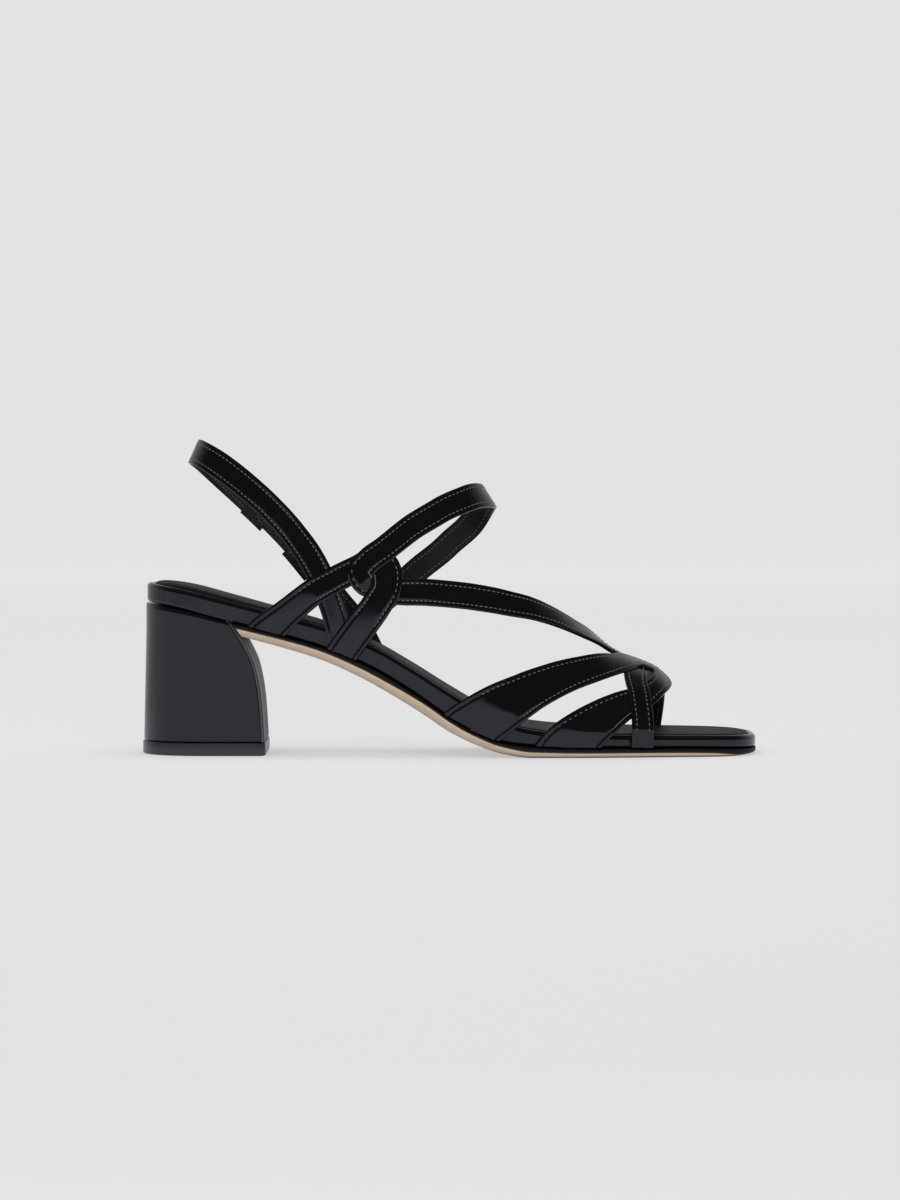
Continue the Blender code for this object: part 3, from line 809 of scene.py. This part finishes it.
def last(x, around):
    """A point of the last: 0 is the outer rim, 90 the ridge, 180 the inner rim, then straight down."""
    low, high = plan(x)
    ridge = column(RIDGE, 2, x)
    turn = np.radians(np.clip(around, 0, 180))
    reach = np.cos(turn)
    wide = np.where(reach > 0, ridge - low, high - ridge) + OFF_RIM
    base = column(BED, 1, x)
    tall = column(RIDGE, 1, x) - base
    below = np.radians(np.maximum(np.maximum(-around, around - 180), 0))
    z = base + tall * (np.sin(turn) - below)
    return np.stack([x + 0 * z, ridge - wide * reach, z], -1)


def outside(x, around, d=0.05):
    """Where the last faces at this place."""
    along = last(x + d, around) - last(x - d, around)
    up = last(x, around + d) - last(x, around - d)
    facing = np.cross(along, up)
    return facing / np.linalg.norm(facing, axis=-1)[..., None]


def turn_of(x, z, side):
    """Where a strap at this height lies round the last: on its outer (-1), top (0) or inner (1) side."""
    if side == 0:
        return 90.0
    base = float(column(BED, 1, x))
    share = (max(z, float(foot_level(x))) - base) / (float(column(RIDGE, 1, x)) - base)
    turn = np.degrees(np.arcsin(min(share, 1)) if share > 0 else share)
    return turn if side < 0 else 180 - turn


# Straps over the foot
# Patent leather on a thin leather lining, sewn along both edges, with the cut edges rounded. The straps pass
# over and under each other in a knot on the outer side and another at the toe, and end on the sole.
LINING = 0.55
LINING_PITCH = 2.0
LINING_BLACK = (0.012, 0.0115, 0.0115)
LAYER = 1.5
STITCH_IN = 1.9
STITCH_PITCH = 1.8
STITCH_LONG = 1.25
STITCH_WIDE = 0.42
STITCH_HIGH = 0.48
STITCH_OFF_END = 1.2
STITCH_LEVELS = (1.62, 0.02)
STITCH_SECTIONS = ((-0.5, 0.35), (-0.3, 1.0), (0.3, 1.0), (0.5, 0.35))
STITCH_AROUND = 6
TWIST_SCALE = 900
# The thread is black. The grey is a painted highlight that stands in for its glints above a height over the
# footbed.
THREAD_PAINTED_GLINT = (0.18, 0.18, 0.185)
THREAD_DARK = (0.012, 0.012, 0.013)
GLINT_ABOVE = (
    # x, height over the footbed below which the thread keeps its black and above which a grey glint is
    # painted on
    (50, 9.0),
    (130, 4.5),
    (200, 0.0),
    (240, 0.0),
)
GLINT_FADE = 3.0
EDGE_PROFILE = (
    # distance in from the cut edge, height
    (0.25, LINING),
    (0.04, 0.68),
    (0.0, 1.0),
    (0.03, 1.36),
    (0.14, 1.56),
    (0.34, 1.66),
    (0.7, 1.69),
    (1.5, 1.69),
    (STITCH_IN, 1.60),
    (2.3, 1.69),
    (3.0, 1.70),
)
CROWN = 1.71
LINING_PROFILE = (
    (0.5, LINING),
    (0.32, 0.42),
    (0.3, 0.2),
    (0.45, 0.05),
    (0.9, 0.0),
)
STRAPS = {
    # x, z, side, width, lift
    "rear_loop": (
        (48.7, 0, -1, 13.2, 1),
        (58.2, 57.0, -1, 11.2, 1),
        (67.2, 64.1, -1, 10.6, 1),
        (76.4, 69.3, -1, 10.4, 0.4),
        (84.4, 73.4, -1, 10.0, 0),
        (90.0, 76.6, -1, 9.0, 0.1),
        (94.0, 75.3, -1, 10.8, 0.5),
        (95.3, 71.2, -1, 12.6, 0.9),
        (95.1, 65.2, -1, 12.0, 1),
        (91.9, 59.4, -1, 12.0, 1),
        (85.3, 50.3, -1, 12.4, 1),
        (77.9, 0, -1, 12.4, 1),
    ),
    "instep": (
        (77.5, 0, 1, 10.2, 0),
        (84.6, 51.4, 1, 10.2, 0),
        (92, 58, 1, 10.2, 0),
        (106, 70.2, 1, 10.2, 0),
        (119, 81, 1, 10.3, 0),
        (128.5, 90.2, 1, 10.5, 0),
        (134.2, 100.5, 0, 10.8, 0),
        (126, 99.7, -1, 10.6, 0),
        (115, 94.8, -1, 10.4, 0),
        (104, 88.0, -1, 10.4, 0.2),
        (94.4, 80.4, -1, 10.2, 0.8),
        (88.2, 75.7, -1, 10.2, 1),
        (85.4, 71.8, -1, 10.4, 1),
        (87.0, 68.0, -1, 10.2, 1),
        (91.6, 65.7, -1, 9.8, 0.4),
        (99, 64.2, -1, 10.2, 0),
        (110, 63.9, -1, 10.5, 0),
        (126, 62.4, -1, 10.4, 0),
        (144, 58.9, -1, 10.2, 0),
        (158, 54.5, -1, 10.0, 0),
        (170, 48.4, -1, 10.0, 0),
        (180, 41.4, -1, 10.2, 0.2),
        (187, 36.4, 0, 10.4, 0.45),
        (194, 33.6, 1, 9.6, 0.45),
    ),
    "front_loop": (
        (127.6, 0, -1, 22, 0),
        (139.5, 19.2, -1, 19.8, 0),
        (149.5, 24.9, -1, 16.6, 0),
        (160.5, 29.7, -1, 14.1, 0.3),
        (172, 32.7, -1, 12.3, 0.8),
        (184, 33.9, -1, 11.2, 1),
        (193.6, 33.4, -1, 10.4, 1),
        (200.2, 30.7, -1, 8.8, 0.7),
        (200.2, 26.0, -1, 8.2, 0.3),
        (194.8, 22.8, -1, 10.6, 0),
        (186, 19.3, -1, 12.4, 0),
        (178, 14.6, -1, 15.4, 0),
        (165.5, 0, -1, 20.5, 0),
    ),
    "toe_strap": (
        (194.2, 0, -1, 8.6, 0.2),
        (194.0, 13.5, -1, 8.6, 1),
        (192.8, 22, -1, 8.8, 1),
        (191.8, 28, -1, 9.4, 0.4),
        (194.4, 33.6, 0, 10.2, 0),
        (200.6, 25, 1, 10.0, 0),
        (200.6, 17, 1, 9.8, 0),
        (199.0, 0, 1, 9.8, 0),
    ),
}


def strap_on_last(rows):
    """A strap's length, and a function for points along it at a distance from its middle."""
    xs = np.array([row[0] for row in rows], float)
    turns = np.array([turn_of(row[0], row[1], row[2]) for row in rows])
    knots = last(xs, turns)
    run = np.concatenate([[0], np.cumsum(np.linalg.norm(np.diff(knots, axis=0), axis=1))])
    long = run[-1]
    cut = [row[1] == 0 for row in (rows[0], rows[-1])]

    def width(at):
        return curve(run, [row[3] for row in rows], at)

    def path(at):
        inside = np.clip(at, 0, long)
        x, turn = curve(run, xs, inside, True), curve(run, turns, inside, True)
        for end, near in ((0.0, 1.0), (long, long - 1.0)):
            past = np.where((at < 0) if end == 0 else (at > long), np.abs(at - end), 0)
            x = x + past * (curve(run, xs, end, True) - curve(run, xs, near, True))
            turn = turn + past * (curve(run, turns, end, True) - curve(run, turns, near, True))
        return x, turn

    def walk(at, off, steps=4, d=0.05):
        """Place on the last at a distance across from the strap's middle."""
        x, turn = path(at)
        heading = last(*path(at + 0.2)) - last(*path(at - 0.2))
        side = np.cross(outside(x, turn), heading)
        for _ in range(steps):
            along = (last(x + d, turn) - last(x - d, turn)) / (2 * d)
            up = (last(x, turn + d) - last(x, turn - d)) / (2 * d)
            facing = outside(x, turn)
            side = side - facing * (side * facing).sum(-1)[:, None]
            side = side / np.linalg.norm(side, axis=-1)[:, None]
            aa, ab, bb = (along * along).sum(-1), (along * up).sum(-1), (up * up).sum(-1)
            sa, sb = (side * along).sum(-1), (side * up).sum(-1)
            far = off / steps / (aa * bb - ab * ab)
            x, turn = x + (sa * bb - sb * ab) * far, turn + (sb * aa - sa * ab) * far
        return x, turn

    def line(at, off, more=14.0, ease=30.0):
        """Points, outward directions and lifts of a line across from the middle, cut off at the sole."""
        first, final = 0.0, long
        fine = np.linspace(-more if cut[0] else 0, long + (more if cut[1] else 0), 500)
        x, turn = walk(fine, off(width(fine)))
        above = last(x, turn)[:, 2] > foot_level(x)
        if cut[0]:
            first = fine[np.argmax(above)]
        if cut[1]:
            final = fine[len(fine) - 1 - np.argmax(above[::-1])]
        near_first = np.clip(1 - at / ease, 0, 1)
        near_final = np.clip(1 - (long - at) / ease, 0, 1)
        at = at + first * near_first + (final - long) * near_final
        x, turn = walk(at, off(width(at)))
        lift = curve(run, [row[4] * LAYER for row in rows], np.clip(at, 0, long))
        return last(x, turn), outside(x, turn), lift

    return long, line


def band(long, line, profile, crown, begin, end, pitch=1.25):
    """Rings of a strap, wound to face outwards: an edge profile on both sides, and a crown in the middle."""
    at = np.linspace(begin * long, end * long, max(4, int((end - begin) * long / pitch)))
    columns = []
    for side in (-1, 1):
        rows = profile if side < 0 else profile[::-1]
        for inset, height in rows:
            def off(width, inset=inset, side=side):
                return side * (width / 2 - inset)

            points, facing, lift = line(at, off)
            columns.append(points + facing * (lift + height)[:, None])
        if side < 0 and crown is not None:
            points, facing, lift = line(at, lambda width: 0 * width)
            columns.append(points + facing * (lift + crown)[:, None])
    upwards = profile[-1][1] > profile[0][1]
    return np.stack(columns[::-1] if upwards else columns, 1)


def stitches(name, long, line, begin, end):
    """Two rows of stitches along a strap, each a short bead of thread on either face."""
    turns = np.linspace(0, 2 * np.pi, STITCH_AROUND, endpoint=False)
    ring = [(np.cos(t) * STITCH_WIDE / 2, np.sin(t) * STITCH_HIGH / 2) for t in turns]
    points, faces, light = [], [], []
    at = np.arange(begin * long + STITCH_OFF_END, end * long - STITCH_OFF_END, STITCH_PITCH)
    for side, level in [(side, level) for level in STITCH_LEVELS for side in (-1, 1)]:
        def off(width, side=side):
            return side * (width / 2 - STITCH_IN)

        middle, facing, lift = line(at, off)
        ahead, _, _ = line(at + 0.4, off)
        heading = ahead - middle
        heading /= np.linalg.norm(heading, axis=1)[:, None]
        across = np.cross(facing, heading)
        middle = middle + facing * (lift + level)[:, None]
        # Painted highlight: how far each stitch is above that height decides how much of the grey glint it
        # gets.
        over = middle[:, 2] - column(BED, 1, middle[:, 0]) - column(GLINT_ABOVE, 1, middle[:, 0])
        glint_share = np.clip(over / GLINT_FADE, 0, 1)
        light.append(np.repeat(glint_share, len(STITCH_SECTIONS) * STITCH_AROUND))
        for centre, forward, sideways, up in zip(middle, heading, across, facing):
            base = len(points)
            for along, girth in STITCH_SECTIONS:
                for c, s in ring:
                    points.append(centre + forward * along * STITCH_LONG + girth * (sideways * c + up * s))
            for i in range(len(STITCH_SECTIONS) - 1):
                for k in range(STITCH_AROUND):
                    a = base + STITCH_AROUND * i + k
                    b = base + STITCH_AROUND * i + (k + 1) % STITCH_AROUND
                    faces.append((a, b, b + STITCH_AROUND, a + STITCH_AROUND))
            faces.append(tuple(range(base, base + STITCH_AROUND))[::-1])
            faces.append(tuple(range(len(points) - STITCH_AROUND, len(points))))
    mesh = bpy.data.meshes.new(name)
    mesh.from_pydata([tuple(p) for p in in_place(points)], [], faces)
    mesh.update()
    mesh.shade_smooth()
    glint_mark = mesh.attributes.new("thread_painted_glint", "FLOAT", "POINT")
    glint_mark.data.foreach_set("value", np.concatenate(light).astype(np.float32))
    piece = bpy.data.objects.new(name, mesh)
    bpy.context.scene.collection.objects.link(piece)
    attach(piece, "root")
    piece.data.materials.append(thread)
    return piece


strap_patent = patent_leather("strap_patent", wave_scale=95, wave_deep=0.00006, smear=0.05)
strap_lining, _ = grained("strap_lining", LINING_BLACK, 0.45, 1800, 0.00006, 5.0)
thread, tree, shader = new_material("sewing_thread", THREAD_PAINTED_GLINT, 0.22)
# Painted highlight: the black thread turns grey where the mark says it catches light.
painted_glint = colour_mix(tree, attribute_of(tree, "thread_painted_glint"), THREAD_DARK, THREAD_PAINTED_GLINT)
tree.links.new(painted_glint, shader.inputs["Base Color"])
twist = tree.nodes.new("ShaderNodeTexWave")
twist.inputs["Scale"].default_value = TWIST_SCALE
place = tree.nodes.new("ShaderNodeTexCoord")
tree.links.new(place.outputs["Object"], twist.inputs["Vector"])
add_bump(tree, shader, twist.outputs["Fac"], 0.00005)


def sew_strap(name, long, line, begin=0.0, end=1.0):
    """A finished strap: leather, lining and stitching."""
    leather = loft(name, band(long, line, EDGE_PROFILE, CROWN, begin, end), "upper", False)
    leather.data.materials.append(strap_patent)
    lining_rings = band(long, line, LINING_PROFILE, None, begin, end, LINING_PITCH)
    lined = loft(name + "_lining", lining_rings, "upper", False)
    lined.data.materials.append(strap_lining)
    stitches(name + "_stitching", long, line, begin, end)


for strap_name, rows in STRAPS.items():
    sew_strap(strap_name, *strap_on_last(rows))

# Slingback
# The strap round the back of the ankle, of the same sewn leather, from its foot on the outer side under the
# rear loop to its foot on the inner side, where an elastic takes up the stretch.
SLING = (
    # x, y, z, width
    (78.2, -29.4, 38.0, 10.6),
    (76.8, -29.4, 50, 10.4),
    (74.0, -29.2, 60, 10.3),
    (70.2, -28.8, 69.2, 10.4),
    (65.6, -27.9, 78.0, 10.4),
    (59.2, -26.4, 86.8, 10.2),
    (51.0, -25.2, 95.9, 10.2),
    (41.0, -23.0, 105.0, 10.4),
    (31.0, -18.6, 112.7, 10.5),
    (23.4, -10.4, 117.2, 10.2),
    (20.6, 0, 117.8, 10.2),
    (23.8, 10.4, 114.7, 10.2),
    (30.6, 18, 108.0, 10.2),
    (40.5, 22.4, 98.6, 10.2),
    (50, 24.2, 89.3, 10.2),
    (58.6, 25.4, 80.1, 10.2),
    (66.4, 26.0, 70.4, 10.0),
    (74.4, 26.1, 60.3, 9.6),
    (83.0, 25.7, 50.4, 9.8),
    (91.4, 24.9, 33.6, 10.4),
)
SLING_LEAN = np.radians(24.0)
SQUARE_FROM = 10.0
ELASTIC_FROM, ELASTIC_TO = 48.2, 57.6
UPPER_TAB_LONG = 10.5
LOWER_TAB_LONG = 14.0
TAB_OVER = 0.3
TAB_PROFILE = (
    # distance in from the strap's edge, height
    (0.6, -0.35),
    (-0.5, -0.35),
    (-0.75, -0.2),
    (-0.8, 0.1),
    (-0.8, 1.2),
    (-0.7, 1.5),
    (-0.4, 1.6),
    (0.5, 1.6),
)


def sling_round_ankle():
    """The slingback's length and a function for points along it, as for a strap on the last."""
    knots = np.array([row[:3] for row in SLING], float)
    run = np.concatenate([[0], np.cumsum(np.linalg.norm(np.diff(knots, axis=0), axis=1))])
    lean = np.array([np.sin(SLING_LEAN), 0, np.cos(SLING_LEAN)])

    def middle(at):
        return np.stack([curve(run, knots[:, k], at, True) for k in range(3)], 1)

    def line(at, off):
        spine = middle(at)
        heading = middle(at + 0.3) - middle(at - 0.3)
        heading /= np.linalg.norm(heading, axis=1)[:, None]
        side = lean - np.outer(heading @ lean, [1, 1, 1]) * heading
        side /= -np.linalg.norm(side, axis=1)[:, None]
        facing = np.cross(heading, side)
        square = np.clip(1 - (spine[:, 2] - column(BED, 1, spine[:, 0])) / SQUARE_FROM, 0, 1)[:, None]
        level = np.sign(side[:, :1]) * np.array([1.0, 0, 0])
        side = side * (1 - square) + level * square
        width = curve(run, [row[3] for row in SLING], at)
        points = spine + side * off(width)[:, None]
        points[:, 2] = np.maximum(points[:, 2], foot_level(points[:, 0]))
        return points, facing, 0 * at

    inner = knots[:, 1] >= 0
    shares = [np.interp(x, knots[inner, 0], run[inner] / run[-1]) for x in (ELASTIC_FROM, ELASTIC_TO)]
    return run[-1], line, shares


sling_long, sling_line, (elastic_from, elastic_to) = sling_round_ankle()
sew_strap("slingback_outer", sling_long, sling_line, 0.0, elastic_from)
sew_strap("slingback_inner", sling_long, sling_line, elastic_to, 1.0)
for tab_name, begin, end in (
    ("upper_tab", elastic_from - UPPER_TAB_LONG / sling_long, elastic_from + TAB_OVER / sling_long),
    ("lower_tab", elastic_to - TAB_OVER / sling_long, elastic_to + LOWER_TAB_LONG / sling_long),
):
    tab = loft(tab_name, band(sling_long, sling_line, TAB_PROFILE, None, begin, end), "upper", False)
    tab.data.materials.append(strap_lining)

# Elastic
# A short length of black woven elastic behind the slingback's inner half, sewn under the leather at both
# ends.
RIB_SCALE = 420
RIB_TURN = np.radians(46)
FLECK_SCALE = 2200
FLECK_SPREAD = (0.5, 0.72)
WEB_BLACK = (0.012, 0.012, 0.0125)
WEB_FLECK = (0.16, 0.16, 0.16)


def skin_over(node, name, rounding):
    """A smooth copy of a node: its triangles merged and paired into quads, then rounded off."""
    bpy.ops.object.select_all(action="DESELECT")
    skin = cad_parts[node].copy()
    skin.data = skin.data.copy()
    skin.name = name
    skin.data.name = name
    for key in list(skin.keys()):
        if key.startswith("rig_"):
            del skin[key]
    skin.parent = None
    bpy.context.scene.collection.objects.link(skin)
    skin.select_set(True)
    bpy.context.view_layer.objects.active = skin
    bpy.ops.object.mode_set(mode="EDIT")
    bpy.ops.mesh.select_all(action="SELECT")
    bpy.ops.mesh.remove_doubles(threshold=2e-6)
    bpy.ops.mesh.tris_convert_to_quads(face_threshold=np.pi, shape_threshold=np.pi)
    bpy.ops.object.mode_set(mode="OBJECT")
    bend = skin.modifiers.new("rounding", "SUBSURF")
    bend.levels = bend.render_levels = rounding
    bpy.ops.object.modifier_apply(modifier=bend.name)
    skin.data.shade_smooth()
    skin.data.materials.clear()
    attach(skin, "root")
    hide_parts(node)
    return skin


elastic = skin_over("sling_elastic", "sling_elastic_skin", rounding=1)
webbing, tree, shader = new_material("elastic_webbing", WEB_BLACK, 0.65)
ribs = tree.nodes.new("ShaderNodeTexWave")
ribs.inputs["Scale"].default_value = RIB_SCALE
ribs.inputs["Distortion"].default_value = 0.6
place = tree.nodes.new("ShaderNodeTexCoord")
turned = tree.nodes.new("ShaderNodeMapping")
turned.inputs["Rotation"].default_value = (0, RIB_TURN, 0)
tree.links.new(place.outputs["Object"], turned.inputs["Vector"])
tree.links.new(turned.outputs[0], ribs.inputs["Vector"])
add_bump(tree, shader, ribs.outputs["Fac"], 0.0002)
flecks = map_range(tree, noise_at(tree, FLECK_SCALE, 2.0).outputs["Fac"], *FLECK_SPREAD)
tree.links.new(colour_mix(tree, flecks, WEB_BLACK, WEB_FLECK), shader.inputs["Base Color"])
elastic.data.materials.append(webbing)
